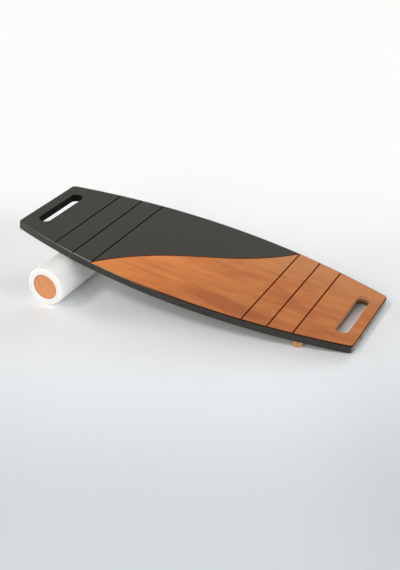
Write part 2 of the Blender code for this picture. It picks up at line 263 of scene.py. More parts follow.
class Wiring:
    """Adds nodes to one tree and links them as they are made."""

    def __init__(self, tree):
        self.tree = tree
        self.here = None

    def feed(self, socket, value):
        if isinstance(value, bpy.types.NodeSocket):
            self.tree.links.new(value, socket)
        else:
            socket.default_value = value

    def add(self, kind, inputs, **settings):
        """A new node. Each of its inputs is given a value, or the socket that feeds it."""
        made = self.tree.nodes.new(kind)
        for setting, value in settings.items():
            setattr(made, setting, value)
        for label, value in inputs.items():
            self.feed(find(made.inputs, label), value)
        return made

    def out(self, kind, inputs, **settings):
        """The first output of a new node."""
        return self.add(kind, inputs, **settings).outputs[0]

    def math(self, operation, first, second=0.0):
        return self.out("ShaderNodeMath", {"Value": first, "Value_001": second}, operation=operation)

    def plus(self, first, second):
        return self.math("ADD", first, second)

    def minus(self, first, second):
        return self.math("SUBTRACT", first, second)

    def times(self, first, second):
        return self.math("MULTIPLY", first, second)

    def point(self, x=0.0, y=0.0, z=0.0):
        return self.out("ShaderNodeCombineXYZ", {"X": x, "Y": y, "Z": z})

    def along(self, axis):
        """How far the place that the tree works on, its here, is along X, Y or Z."""
        return self.add("ShaderNodeSeparateXYZ", {"Vector": self.here}).outputs[axis]


class Finish(Wiring):
    """One material, built up round its Principled shader, on the axes of a piece that lies at place."""

    def __init__(self, name, roughness, specular=0.5, metallic=0.0, place=DECK_PLACE):
        self.material = bpy.data.materials.new(name)
        self.material.use_nodes = True
        super().__init__(self.material.node_tree)
        self.shader = self.tree.nodes["Principled BSDF"]
        self.give({"Roughness": roughness, "Specular IOR Level": specular, "Metallic": metallic})
        here = self.add("ShaderNodeTexCoord", {}).outputs["Object"]
        turned = {"Vector": here, "Location": place.translation, "Rotation": place.to_euler()}
        self.here = self.out("ShaderNodeMapping", turned, vector_type="TEXTURE")

    def give(self, values):
        """Feeds the shader's inputs, apart from those whose value is None."""
        for label, value in values.items():
            if value is not None:
                self.feed(self.shader.inputs[label], value)

    def noise(self, size, shift=(0, 0, 0), detail=2.0, roughness=0.5, distortion=0.0):
        """Cloudy noise from 0 to 1 whose features have about this size in metres along X, Y and Z."""
        scaled = {"Vector": self.here, "Location": shift, "Scale": size}
        cloud = {
            "Vector": self.out("ShaderNodeMapping", scaled, vector_type="TEXTURE"),
            "Scale": 1.0,
            "Detail": detail,
            "Roughness": roughness,
            "Distortion": distortion,
        }
        return self.out("ShaderNodeTexNoise", cloud)

    def span(self, value, start, end, low=0.0, high=1.0):
        """Goes smoothly from low to high as value goes from start to end."""
        ends = {"Value": value, "From Min": start, "From Max": end, "To Min": low, "To Max": high}
        return self.out("ShaderNodeMapRange", ends, interpolation_type="SMOOTHSTEP")

    def sway(self, cloud, low, high):
        """Goes from low to high with a noise, most of which lies between 0.3 and 0.7."""
        return self.span(cloud, 0.3, 0.7, low, high)

    def mix(self, share, first, second):
        """Goes from the first colour to the second by share."""
        sockets = [c if isinstance(c, bpy.types.NodeSocket) else (*c, 1.0) for c in (first, second)]
        inputs = {"Factor_Float": share, "A_Color": sockets[0], "B_Color": sockets[1]}
        return find(self.add("ShaderNodeMix", inputs, data_type="RGBA").outputs, "Result_Color")

    def shade(self, colour, amount):
        """A colour made darker or lighter: amount is what it is multiplied by."""
        return self.out("ShaderNodeVectorMath", {"Vector": colour, "Scale": amount}, operation="SCALE")

    def bump(self, height, depth, under=None):
        """Raises the surface by up to depth metres where height is 1, on top of another bump."""
        inputs = {"Height": height, "Distance": depth, "Strength": 1.0}
        if under is not None:
            inputs["Normal"] = under
        return self.out("ShaderNodeBump", inputs)

    def finish(self, colour, roughness=None, normal=None):
        self.give({"Base Color": colour, "Roughness": roughness, "Normal": normal})
        return self.material


# Finishes


def charcoal_paint(name, deck, roughness, specular):
    """Satin paint, the wood's grain just telling through it, and at the deck's two ends a pale warm colour
    that is a painted reflection.
    """
    paint = Finish(name, roughness, specular)
    cloud = paint.noise((0.11, 0.05, 0.05), detail=3)
    grain = paint.noise((0.05, 0.0011, 0.0011))
    stipple = paint.noise((0.0013, 0.0011, 0.0011), detail=1)
    tone = paint.plus(paint.sway(cloud, 0.95, 1.05), paint.sway(grain, -0.04, 0.04))
    sheen = paint.sway(cloud, roughness - 0.04, roughness + 0.04)
    relief = paint.bump(stipple, 0.00004, paint.bump(grain, 0.00003))
    # Near both ends the paint turns pale and warm: a painted reflection
    off_middle = paint.math("ABSOLUTE", paint.along("X"))
    end_reflection = paint.span(off_middle, deck.length / 2 - 0.004, deck.length / 2 - 0.0005)
    colour = paint.mix(end_reflection, deck.paint, deck.rubbed_paint)
    return paint.finish(paint.shade(colour, tone), sheen, relief)


def oiled_wood(deck):
    """Oiled hardwood: wavering streaks, one dark streak near the front, fibres and pores, all along X.
    Painted light makes it lighter to the left, and a painted sheen makes it yellower at the back.
    """
    wood = Finish("oiled_wood", 0.5, 0.15)
    cloud = wood.noise((0.13, 0.045, 0.045), (0.11, 0.3, 0), distortion=0.6)
    streak = wood.noise((0.07, 0.009, 0.009), (0.37, 0.0, 0), detail=3, distortion=0.5)
    fibre = wood.noise((0.030, 0.0009, 0.0009))
    pores = wood.noise((0.0048, 0.00055, 0.00055), (0.9, 0.4, 0), detail=1)
    x, y = wood.along("X"), wood.along("Y")
    heart_x, heart_y = 0.13, -0.124
    off_heart = wood.math("ABSOLUTE", wood.minus(y, heart_y))
    off_its_middle = wood.math("ABSOLUTE", wood.minus(x, heart_x))
    heart = wood.times(wood.span(off_heart, 0.034, 0.0), wood.span(off_its_middle, 0.16, 0.03))

    share = wood.plus(wood.times(cloud, 0.7), wood.times(streak, 0.4))
    share = wood.plus(wood.span(share, 0.32, 0.84), wood.times(heart, 0.9))
    colour = wood.mix(share, deck.light_wood, deck.deep_wood)
    # The top turns yellower towards the back: painted sheen
    colour = wood.mix(wood.span(y, 0.0, 0.13, 0.0, 0.6), colour, deck.back_wood)
    # Lighter towards the left and a little darker to the right: painted light, for the light falling more
    # brightly on the left
    colour = wood.shade(colour, wood.span(x, -0.12, 0.20, 1.28, 0.94))
    colour = wood.shade(colour, wood.span(fibre, 0.25, 0.75, 0.95, 1.05))
    colour = wood.shade(colour, wood.span(pores, 0.66, 0.76, 1.0, 0.80))
    relief = wood.bump(wood.span(pores, 0.76, 0.62), 0.00005, wood.bump(fibre, 0.00003))
    return wood.finish(colour, wood.sway(streak, 0.44, 0.54), relief)


def wood_rim(deck):
    """The rounded rim of the wood, pale at its left tip, partly as a painted highlight, and dark further
    right.
    """
    rim = Finish("wood_rim", 0.7, 0.08)
    x = rim.along("X")
    fuzz = rim.noise((0.012, 0.0009, 0.0009))
    right_end = rim.span(x, deck.length / 2 - 0.006, deck.length / 2, 1.0, 0.9)
    # Pale at the left tip, partly as a painted highlight, and dark further right
    darkened = rim.times(rim.span(x, -0.13, 0.03), right_end)
    colour = rim.mix(darkened, deck.rim_wood, deck.stain)
    colour = rim.shade(colour, rim.sway(fuzz, 0.9, 1.1))
    return rim.finish(colour, normal=rim.bump(fuzz, 0.00003))


def groove_finish(name, colour, roughness):
    """The cut walls of a groove, darker than the faces round them, partly as painted shade and partly where
    the finish has gathered and dried dull.
    """
    cut = Finish(name, roughness, 0.05)
    fuzz = cut.noise((0.004, 0.0007, 0.0007))
    colour = cut.shade(colour, cut.sway(fuzz, 0.75, 1.2))
    return cut.finish(colour, normal=cut.bump(fuzz, 0.00005))


def slot_plies(deck):
    """The plies of the deck, cut across and oiled, with painted shade low down in the slot's round ends."""
    plies = Finish("slot_plies", 0.6, 0.15)
    half = deck.thickness / 2
    darkening = 0.45
    uneven = plies.noise((0.02, 0.02, 0.004))
    height = plies.plus(plies.along("Z"), plies.times(plies.minus(uneven, 0.5), 0.0012))
    layer = plies.math("PINGPONG", plies.math("DIVIDE", plies.minus(half, height), PLY), 1.0)
    dark = [darkening * part for part in deck.slot_wood]
    colour = plies.mix(plies.span(layer, 0.25, 0.75), dark, deck.slot_wood)
    grain = plies.noise((0.004, 0.004, 0.0006))
    colour = plies.shade(colour, plies.sway(grain, 0.85, 1.12))
    # Low down in the slot's round ends the plies are darkened: painted shade
    off_middle = plies.math("ABSOLUTE", plies.along("Y"))
    slot_end = deck.slot_length / 2
    round_end = plies.span(off_middle, slot_end - 0.018, slot_end - 0.006)
    shaded_low_end = plies.times(round_end, plies.span(height, half * 0.5, -half * 0.5))
    colour = plies.shade(colour, plies.span(shaded_low_end, 0.0, 1.0, 1.0, 0.25))
    return plies.finish(colour, normal=plies.bump(grain, 0.00006))


def rail_wood(rails):
    """Pale lacquered softwood, its grain along the rail."""
    wood = Finish("rail_wood", 0.45, 0.35)
    ring_pitch = 0.005
    streak = wood.noise((0.004, 0.09, 0.004), detail=3, distortion=0.3)
    fibre = wood.noise((0.0008, 0.02, 0.0008))
    ring = wood.plus(wood.math("DIVIDE", wood.along("X"), ring_pitch), streak)
    ring = wood.span(wood.math("PINGPONG", ring, 1.0), 0.6, 1.0, 0.0, 0.35)
    share = wood.plus(wood.times(streak, 0.6), ring)
    colour = wood.mix(wood.span(share, 0.25, 0.7), rails.light_wood, rails.deep_wood)
    colour = wood.shade(colour, wood.span(fibre, 0.25, 0.75, 0.93, 1.06))
    return wood.finish(colour, wood.sway(streak, 0.40, 0.52), wood.bump(fibre, 0.00003))


def zinc_plate(rails):
    """Plated steel, a little cloudy and scratched."""
    zinc = Finish("zinc_plate", 0.32, metallic=1.0, place=Matrix())
    patch = zinc.noise((0.0015, 0.0015, 0.0015), detail=3)
    scratch = zinc.noise((0.004, 0.00025, 0.0015), detail=1)
    colour = zinc.shade(rails.zinc, zinc.sway(patch, 0.86, 1.06))
    sheen = zinc.plus(zinc.sway(patch, 0.24, 0.42), zinc.span(scratch, 0.6, 0.75, 0.0, 0.12))
    return zinc.finish(colour, sheen, zinc.bump(scratch, 0.00001))


def white_tube(roller):
    """Satin white plastic, turned on its outside and lightly marked where it rolls."""
    tube = Finish("white_tube", 0.38, 0.4, place=Matrix.Translation(ROLLER_MIDDLE))
    cloud = tube.noise((0.05, 0.03, 0.05), detail=3)
    turning = tube.noise((0.2, 0.0009, 0.2))
    scuff = tube.noise((0.006, 0.022, 0.006), (0.2, 0.1, 0.4), detail=4, roughness=0.7)
    marks = tube.span(scuff, 0.66, 0.78)
    colour = tube.shade(roller.tube, tube.sway(cloud, 0.97, 1.01))
    colour = tube.mix(tube.times(marks, 0.35), colour, roller.scuffs)
    sheen = tube.plus(tube.sway(cloud, 0.33, 0.42), tube.times(marks, 0.2))
    relief = tube.bump(marks, -0.00002, tube.bump(turning, 0.00002))
    return tube.finish(colour, sheen, relief)


def plug_wood(roller):
    """Oiled wood whose grain runs across the plug's face, with a dark line round it that is painted shade
    of the gap in the bore.
    """
    lean = Matrix.Rotation(math.radians(62), 4, "Y")
    wood = Finish("plug_wood", 0.5, 0.3, place=Matrix.Translation(ROLLER_MIDDLE) @ lean)
    streak = wood.noise((0.06, 0.006, 0.005), (0.3, 0.2, 0), detail=3, distortion=0.3)
    fibre = wood.noise((0.012, 0.0007, 0.0006))
    pores = wood.noise((0.0035, 0.0005, 0.00045), (0.4, 0.9, 0), detail=1)
    colour = wood.mix(wood.span(streak, 0.2, 0.8), roller.light_plug, roller.deep_plug)
    colour = wood.shade(colour, wood.span(fibre, 0.25, 0.75, 0.97, 1.03))
    colour = wood.shade(colour, wood.span(pores, 0.66, 0.76, 1.0, 0.88))
    x, z = wood.along("X"), wood.along("Z")
    off_axis = wood.math("SQRT", wood.plus(wood.times(x, x), wood.times(z, z)))
    # A dark ring at the plug's edge: painted shade of the gap
    gap_edge = roller.bore_radius - CLEARANCE - roller.plug_round
    colour = wood.mix(wood.span(off_axis, gap_edge - 0.0004, gap_edge + 0.0003), colour, roller.glue)
    return wood.finish(colour, wood.sway(streak, 0.44, 0.56), wood.bump(fibre, 0.00003))


def studio_floor(stage):
    """A matt pale floor, darker in front and a little to both sides as painted shade, and pale again
    further off.
    """
    floor = Finish("studio_floor", 0.9, 0.1, place=Matrix.Rotation(stage.azimuth, 4, "Z"))
    x, y = floor.along("X"), floor.along("Y")
    # Darker in front, to the right and a little to the left: painted shade, for the light falling off
    colour = floor.mix(floor.span(y, -0.70, -0.12), stage.floor_near, stage.floor_middle)
    colour = floor.shade(colour, floor.span(x, 0.10, 0.42, 1.0, 0.87))
    colour = floor.shade(colour, floor.span(x, -0.20, -0.45, 1.0, 0.95))
    away = floor.math("MAXIMUM", floor.span(y, -0.1, 0.6), floor.span(y, -1.0, -3.0))
    away = floor.math("MAXIMUM", away, floor.span(x, 0.6, 2.0))
    return floor.finish(floor.mix(away, colour, stage.floor_far))


# Meshes


def arc(x, y, radius, start, end, steps):
    """Points on a round from one angle to another, both ends included."""
    angles = [start + (end - start) * i / steps for i in range(steps + 1)]
    return [(x + radius * math.cos(a), y + radius * math.sin(a)) for a in angles]


def stadium(x, half_length, radius, steps=24):
    """An outline with round ends, which runs along Y and has its middle at x."""
    reach = half_length - radius
    return arc(x, reach, radius, 0, math.pi, steps) + arc(x, -reach, radius, math.pi, math.tau, steps)


def new_guide(name, data):
    guide = bpy.data.objects.new(name, data)
    bpy.context.scene.collection.objects.link(guide)
    return guide


def evaluated_mesh(guide, name):
    """The mesh that an object's modifiers make of it. The object is removed."""
    bpy.context.view_layer.update()
    graph = bpy.context.evaluated_depsgraph_get()
    mesh = bpy.data.meshes.new_from_object(guide.evaluated_get(graph))
    mesh.name = name
    bpy.data.objects.remove(guide)
    return mesh


def welded(mesh):
    """Merges a mesh's doubles and turns its faces outwards."""
    welding = bmesh.new()
    welding.from_mesh(mesh)
    bmesh.ops.remove_doubles(welding, verts=welding.verts, dist=WELD_DISTANCE)
    bmesh.ops.recalc_face_normals(welding, faces=welding.faces)
    welding.to_mesh(mesh)
    welding.free()
    return mesh


def flat_curve(name, outline):
    """A closed curve through an outline's points."""
    curve = bpy.data.curves.new(name, "CURVE")
    curve.dimensions = "2D"
    spline = curve.splines.new("POLY")
    spline.points.add(len(outline) - 1)
    for point, (x, y) in zip(spline.points, outline):
        point.co = (x, y, 0, 1)
    spline.use_cyclic_u = True
    return curve


def slab_mesh(name, outline, thickness, round_over=0.0, steps=0):
    """A flat slab about z = 0, its rims rounded in steps."""
    curve = flat_curve(name, outline)
    curve.fill_mode = "BOTH"
    curve.extrude = thickness / 2 - round_over
    curve.bevel_depth = round_over
    curve.bevel_resolution = steps
    curve.offset = -round_over
    return welded(evaluated_mesh(new_guide(name, curve), name))


def stacked_mesh(name, rows):
    """A solid from outlines of as many points each, given as height and points, top first."""
    building = bmesh.new()
    rows = [[building.verts.new((x, y, height)) for x, y in outline] for height, outline in rows]
    for upper, lower in zip(rows, rows[1:]):
        for i in range(len(upper)):
            after = (i + 1) % len(upper)
            building.faces.new((upper[i], lower[i], lower[after], upper[after]))
    building.faces.new(rows[0])
    building.faces.new(reversed(rows[-1]))
    mesh = bpy.data.meshes.new(name)
    building.to_mesh(mesh)
    building.free()
    return mesh


def ringed_mesh(name, rings, steps):
    """A turned solid, from rings given as height and radius, which may be a function of the angle."""
    angles = [math.tau * i / steps for i in range(steps)]
    rows = []
    for height, radius in rings:
        reach = [radius(a) if callable(radius) else radius for a in angles]
        rows.append((height, [(r * math.cos(a), r * math.sin(a)) for r, a in zip(reach, angles)]))
    return stacked_mesh(name, rows)


def cut_mesh(name, mesh, cutters):
    """A mesh with other meshes cut out of it. The cut faces keep the cutter's material."""
    guide = new_guide(name, mesh)
    helpers = [new_guide("cutter", cutter) for cutter in cutters]
    for helper in helpers:
        boolean = guide.modifiers.new(helper.name, "BOOLEAN")
        boolean.operation = "DIFFERENCE"
        boolean.solver = "EXACT"
        boolean.material_mode = "TRANSFER"
        boolean.use_self = True
        boolean.object = helper
    made = evaluated_mesh(guide, name)
    for helper in helpers:
        bpy.data.objects.remove(helper)
    return made


def check_closed(name, mesh):
    building = bmesh.new()
    building.from_mesh(mesh)
    loose = sum(not edge.is_manifold for edge in building.edges)
    volume = building.calc_volume(signed=True)
    building.free()
    if loose or volume <= 0:
        raise RuntimeError(f"{name} isn't a closed piece: {loose} open edges, volume {volume}")


def finish_piece(name, mesh, matrix, body, nodes):
    """Puts a mesh at its place, as a piece that rides on a body and stands for CAD nodes."""
    mesh.name = name
    mesh.transform(matrix)
    check_closed(name, mesh)
    mesh.shade_smooth()
    mesh.set_sharp_from_angle(angle=SHARP_ANGLE)
    piece = new_guide(name, mesh)
    flat = piece.modifiers.new("flat faces", "WEIGHTED_NORMAL")
    flat.keep_sharp = True
    flat.weight = 100
    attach(piece, body)
    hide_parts(*nodes)


# Geometry Nodes


class Tree(Wiring):
    """A Geometry Nodes tree with named inputs, run once on an empty guide to give a plain mesh."""

    def __init__(self, name, material, values):
        tree = bpy.data.node_groups.new(name, "GeometryNodeTree")
        super().__init__(tree)
        self.values = {**values, "Material": material}
        tree.interface.new_socket("Geometry", in_out="OUTPUT", socket_type="NodeSocketGeometry")
        for label, value in self.values.items():
            # The kind of socket is named for its value's: float, int, Object or Material
            kind = "NodeSocket" + type(value).__name__.title()
            tree.interface.new_socket(label, in_out="INPUT", socket_type=kind)
        self.given = tree.nodes.new("NodeGroupInput").outputs
        self.here = self.out("GeometryNodeInputPosition", {})

    def shape(self, label):
        """The geometry of the object that an input names."""
        return self.add("GeometryNodeObjectInfo", {"Object": self.given[label]}).outputs["Geometry"]

    def run(self, geometry):
        """Ends the tree in Realize Instances and Set Material, and gives the mesh that it makes."""
        real = self.out("GeometryNodeRealizeInstances", {"Geometry": geometry})
        finish = {"Geometry": real, "Material": self.given["Material"]}
        done = self.out("GeometryNodeSetMaterial", finish)
        self.add("NodeGroupOutput", {"Geometry": done})
        name = self.tree.name
        guide = new_guide(name, bpy.data.meshes.new(name))
        modifier = guide.modifiers.new(name, "NODES")
        modifier.node_group = self.tree
        for item in self.tree.interface.items_tree:
            if item.in_out == "INPUT":
                modifier[item.identifier] = self.values[item.name]
        mesh = evaluated_mesh(guide, name)
        # Realized instances can leave an empty slot before the material's
        mesh.materials.clear()
        mesh.materials.append(self.values["Material"])
        return mesh

    def sweep(self, path, section):
        """Runs the tree on a section swept along a path, with its Y up and the path's loose ends closed."""
        path = self.out("GeometryNodeSetCurveNormal", {"Curve": path}, mode="Z_UP")
        swept = {"Curve": path, "Profile Curve": section, "Fill Caps": True}
        return welded(self.run(self.out("GeometryNodeCurveToMesh", swept)))


def groove_section(deck):
    """A V whose sides flare out at the top, so that the groove's rims are eased. Its depth is along +Y."""
    half = deck.groove_width / 2
    lean = math.atan2(deck.groove_depth, half)
    flare = math.radians(15)
    above = deck.groove_depth / 2
    centre_x = half + deck.groove_ease * math.tan(lean / 2)
    side = arc(centre_x, -deck.groove_ease, deck.groove_ease, math.pi / 2 + lean, math.pi / 2 + flare, 4)
    last_x, last_y = side[-1]
    lip = above / 4
    side.append((last_x + (lip - last_y) / math.tan(flare), lip))
    side.append((side[-1][0], above))
    right = [(0, -deck.groove_depth)] + side
    left = [(-x, y) for x, y in reversed(side)]
    curve = flat_curve("groove_section", [(x, -y) for x, y in right + left])
    return new_guide("groove_section", curve)


def groove_cutters(deck, material):
    """Sweeps the groove's section along the straight grooves and the winding one."""
    inner = groove_from_middle(deck, 0)
    section = groove_section(deck)
    values = {
        "Section": section,
        "Grooves Per Half": deck.grooves_per_half,
        "Innermost": inner,
        "Pitch": deck.groove_pitch,
        "Reach Across": deck.middle_width / 2 + deck.corner_radius,
        "Reach Along": inner + deck.corner_radius / 4,
        "Parting Slope": deck.parting_slope,
        "Parting Bend": parting_bend(deck),
        "Parting Shift": deck.parting_shift,
        "Parting Steps": 120,
    }
    tree = Tree("grooves", material, values)
    given = tree.given

    per_half = given["Grooves Per Half"]
    number = tree.out("GeometryNodeInputIndex", {})
    row = tree.out("GeometryNodeMeshLine", {"Count": tree.times(per_half, 2)})
    outward = tree.times(tree.math("MODULO", number, per_half), given["Pitch"])
    side = tree.math("SIGN", tree.minus(tree.plus(number, 0.5), per_half))
    spot = tree.point(tree.times(side, tree.plus(outward, given["Innermost"])))
    spots = tree.out("GeometryNodeSetPosition", {"Geometry": row, "Position": spot})
    front = tree.point(y=tree.times(given["Reach Across"], -1))
    back = tree.point(y=given["Reach Across"])
    bar = tree.out("GeometryNodeCurvePrimitiveLine", {"Start": front, "End": back})
    straight = tree.out("GeometryNodeInstanceOnPoints", {"Points": spots, "Instance": bar})
    straight = tree.out("GeometryNodeRealizeInstances", {"Geometry": straight})

    left = tree.point(tree.times(given["Reach Along"], -1))
    right = tree.point(given["Reach Along"])
    line = tree.out("GeometryNodeCurvePrimitiveLine", {"Start": left, "End": right})
    line = tree.out("GeometryNodeResampleCurve", {"Curve": line, "Count": given["Parting Steps"]})
    x = tree.along("X")
    bend = tree.times(tree.math("POWER", x, 3), given["Parting Bend"])
    share = tree.math("POWER", tree.math("DIVIDE", x, given["Innermost"]), 2)
    shift = tree.times(tree.minus(1, share), given["Parting Shift"])
    y = tree.plus(tree.times(x, given["Parting Slope"]), tree.plus(bend, shift))
    winding = tree.out("GeometryNodeSetPosition", {"Geometry": line, "Position": tree.point(x, y)})

    paths = tree.add("GeometryNodeJoinGeometry", {})
    for path in (straight, winding):
        tree.feed(paths.inputs[0], path)
    mesh = tree.sweep(paths.outputs[0], tree.shape("Section"))
    bpy.data.objects.remove(section)
    return mesh


def screws_on_rails(rails, deck, screw, material):
    """Stands a screw, or the cutter of its hole, at each place on the rails, head down."""
    across, along = rail_place(rails, deck, 1)
    values = {
        "Screw": screw,
        "Screws": rails.screws,
        "Rail To Rail": 2 * across,
        "First To Last": 2 * (rail_half_length(rails, deck) - rails.screw_from_end),
        "Stagger": along,
        "Head Height": rail_underside(rails, deck) + rails.screw_set_in,
        "Turn Seed": 7,
    }
    tree = Tree("screws", material, values)
    given = tree.given
    sizes = {"Size X": given["Rail To Rail"], "Size Y": given["First To Last"]}
    spots = tree.out("GeometryNodeMeshGrid", {**sizes, "Vertices X": 2, "Vertices Y": given["Screws"]})
    stagger = tree.times(tree.math("SIGN", tree.along("X")), given["Stagger"])
    offset = tree.point(y=stagger, z=given["Head Height"])
    spots = tree.out("GeometryNodeSetPosition", {"Geometry": spots, "Offset": offset})
    turns = {"Max_001": math.tau, "Seed": given["Turn Seed"]}
    turn = tree.add("FunctionNodeRandomValue", turns, data_type="FLOAT").outputs
    stance = tree.point(x=math.pi, z=find(turn, "Value_001"))
    placed = {"Points": spots, "Instance": tree.shape("Screw"), "Rotation": stance}
    return tree.run(tree.out("GeometryNodeInstanceOnPoints", placed))


def turned_tube(roller, material):
    """Sweeps the tube's rounded wall round the roller's axis, which is Z here."""
    wall = roller.radius - roller.bore_radius
    values = {
        "Wall": wall,
        "Length": roller.length,
        "Middle Of Wall": roller.radius - wall / 2,
        "Outer Rim Round": roller.rim_round,
        "Bore Rim Round": roller.bore_rim_round,
        "Rim Steps": 10,
        "Steps Around": 192,
    }
    tree = Tree("tube", material, values)
    given = tree.given
    box = {"Width": given["Wall"], "Height": given["Length"]}
    section = tree.out("GeometryNodeCurvePrimitiveQuadrilateral", box)
    outside = tree.math("GREATER_THAN", tree.along("X"), 0.0)
    extra = tree.minus(given["Outer Rim Round"], given["Bore Rim Round"])
    radius = tree.plus(given["Bore Rim Round"], tree.times(outside, extra))
    fillet = {"Curve": section, "Radius": radius, "Limit Radius": True, "Count": given["Rim Steps"]}
    section = tree.out("GeometryNodeFilletCurve", fillet, mode="POLY")
    circle = {"Resolution": given["Steps Around"], "Radius": given["Middle Of Wall"]}
    return tree.sweep(tree.out("GeometryNodeCurvePrimitiveCircle", circle), section)


# Deck


def half_width(deck, x):
    """Half the deck's width at x: its long sides are one shallow parabola each."""
    share = (2 * x / deck.length) ** 2
    return (deck.middle_width + (deck.end_width - deck.middle_width) * share) / 2


def side_angle(deck, x):
    """How steeply the long side runs in towards the end of the deck at x."""
    return math.atan(4 * x * (deck.middle_width - deck.end_width) / deck.length**2)


def deck_outline(deck, side_steps=48, corner_steps=12):
    """The bowed sides and rounded corners, which meet where the two are tangent."""
    start = deck.length / 2
    for _ in range(20):
        start = deck.length / 2 - deck.corner_radius * (1 - math.sin(side_angle(deck, start)))
    lean = side_angle(deck, start)
    centre_x = deck.length / 2 - deck.corner_radius
    centre_y = half_width(deck, start) - deck.corner_radius * math.cos(lean)
    places = [start * i / side_steps for i in range(side_steps)]
    corner = arc(centre_x, centre_y, deck.corner_radius, math.pi / 2 - lean, 0, corner_steps)
    quarter = [(x, half_width(deck, x)) for x in places] + corner
    back = [(-x, y) for x, y in reversed(quarter[1:])] + quarter
    return back + [(x, -y) for x, y in reversed(back)]


def slot_middle(deck):
    """How far a hand slot's middle is from the deck's."""
    return deck.length / 2 - deck.slot_from_end


def groove_from_middle(deck, number):
    """How far a groove is from the deck's middle. The innermost is number 0."""
    outer = deck.length / 2 - deck.outer_groove
    return outer - deck.groove_pitch * (deck.grooves_per_half - 1 - number)


def parting_bend(deck):
    """The winding line's cubic share, with which it meets the deck's edge at the innermost grooves."""
    inner = groove_from_middle(deck, 0)
    return (half_width(deck, inner) - deck.parting_slope * inner) / inner**3


def parting(deck, x):
    """The winding line between paint and wood."""
    fade = 1 - (x / groove_from_middle(deck, 0)) ** 2
    return deck.parting_slope * x + parting_bend(deck) * x**3 + deck.parting_shift * fade


def is_wood_side(deck, x, y):
    return y < parting(deck, x) if abs(x) < groove_from_middle(deck, 0) else x > 0


def slot_cutter(deck, side, material):
    """A hand slot, flared at both ends by the round of its rims. Side is -1 for left and 1 for right."""
    half = deck.thickness / 2
    flare = arc(deck.slot_round, half - deck.slot_round, deck.slot_round, math.pi, math.pi / 2, 4)
    top = [(deck.slot_round, half + deck.corner_radius)] + flare[::-1]
    rows = []
    for grown, height in top + [(grown, -height) for grown, height in reversed(top)]:
        radius = deck.slot_width / 2 + grown
        rows.append((height, stadium(side * slot_middle(deck), deck.slot_length / 2 + grown, radius)))
    mesh = stacked_mesh("slot_cutter", rows)
    mesh.materials.append(material)
    return mesh


def deck_face_finish(deck, face, cut_by):
    """The name of the finish on a face of the cut deck, which is still on its own axes."""
    x, y = face.center[:2]
    up = face.normal.z
    beside_slot = abs(abs(x) - slot_middle(deck)) < deck.slot_width / 2 + deck.slot_round
    in_slot = beside_slot and abs(y) < deck.slot_length / 2 + deck.slot_round
    if cut_by == "paint_groove":
        # Judged from a groove's width further front, so that the winding groove itself counts as wood
        return "wood_groove" if is_wood_side(deck, x, y - deck.groove_width) else "paint_groove"
    if up > WALL_NORMAL and is_wood_side(deck, x, y):
        return "oiled_wood" if up > RIM_NORMAL or in_slot else "wood_rim"
    if in_slot and abs(up) <= WALL_NORMAL:
        # The walls of the painted end's slot are near black: painted shade
        return "slot_plies" if x > 0 else "slot_paint"
    return "charcoal_paint" if abs(up) > FLAT_NORMAL or in_slot else "edge_paint"


def finish_deck_faces(deck, mesh, finishes):
    """Gives each face of the cut deck its finish."""
    cutters = [material.name for material in mesh.materials]
    names = [material.name for material in finishes]
    found = [deck_face_finish(deck, face, cutters[face.material_index]) for face in mesh.polygons]
    mesh.materials.clear()
    for material in finishes:
        mesh.materials.append(material)
    mesh.polygons.foreach_set("material_index", [names.index(name) for name in found])


class ROLLERBOARD_OT_deck(Operator):
    """Make the bowed deck with its slots, grooves and two finishes"""

    bl_idname = "roller_board.deck"
    bl_label = "Deck"

    def execute(self, context):
        deck = context.scene.roller_board_deck
        rails = context.scene.roller_board_rails
        paint = charcoal_paint("charcoal_paint", deck, 0.55, 0.15)
        groove = groove_finish("paint_groove", deck.groove_paint, 0.7)
        plies = slot_plies(deck)
        finishes = [
            paint,
            charcoal_paint("edge_paint", deck, 0.30, 0.28),
            oiled_wood(deck),
            wood_rim(deck),
            groove,
            groove_finish("slot_paint", deck.slot_paint, 0.6),
            groove_finish("wood_groove", deck.groove_wood, 0.7),
            plies,
        ]
        slab = slab_mesh("deck", deck_outline(deck), deck.thickness, deck.round_over, steps=6)
        slab.materials.append(paint)
        slots = [slot_cutter(deck, side, plies) for side in (-1, 1)]
        grooves = groove_cutters(deck, groove)
        grooves.transform(Matrix.Translation((0, 0, deck.thickness / 2)))
        holes = screw_hole_cutters(rails, deck, plies)
        mesh = cut_mesh("deck", slab, [*slots, grooves, holes])
        finish_deck_faces(deck, mesh, finishes)
        finish_piece("deck", mesh, DECK_PLACE, "deck", ["deck_panel"])
        return {"FINISHED"}


# Rails and screws


def rail_place(rails, deck, side):
    """The middle of a rail on the deck. The two are half a turn apart: side is -1 for left, 1 for right."""
    towards_edge = (rails.short_of_far_edge - rails.short_of_edge) / 2
    return side * (deck.length / 2 - rails.from_end), -side * towards_edge


def rail_half_length(rails, deck):
    half = half_width(deck, deck.length / 2 - rails.from_end)
    return half - (rails.short_of_edge + rails.short_of_far_edge) / 2


def rail_underside(rails, deck):
    """Height of the rails' undersides on the deck's own axes."""
    return -deck.thickness / 2 - CLEARANCE - rails.height


def screw_length(rails, deck):
    return rails.height - rails.screw_set_in + CLEARANCE + deck.thickness - rails.screw_cover


def screw_hole_cutters(rails, deck, material):
    """The holes of all the screws, each its screw's shape grown by the clearance."""
    head = rails.head_radius + CLEARANCE
    shank = rails.thread_radius + CLEARANCE
    length = screw_length(rails, deck)
    rings = [
        (rails.height / 2, head),
        (-rails.head_rim - CLEARANCE, head),
        (-rails.head_height - CLEARANCE, shank),
        (rails.point - length, shank),
        (-length - CLEARANCE, shank / 10),
    ]
    plug = new_guide("screw_hole", ringed_mesh("screw_hole", rings, steps=40))
    mesh = screws_on_rails(rails, deck, plug, material)
    bpy.data.objects.remove(plug)
    return mesh


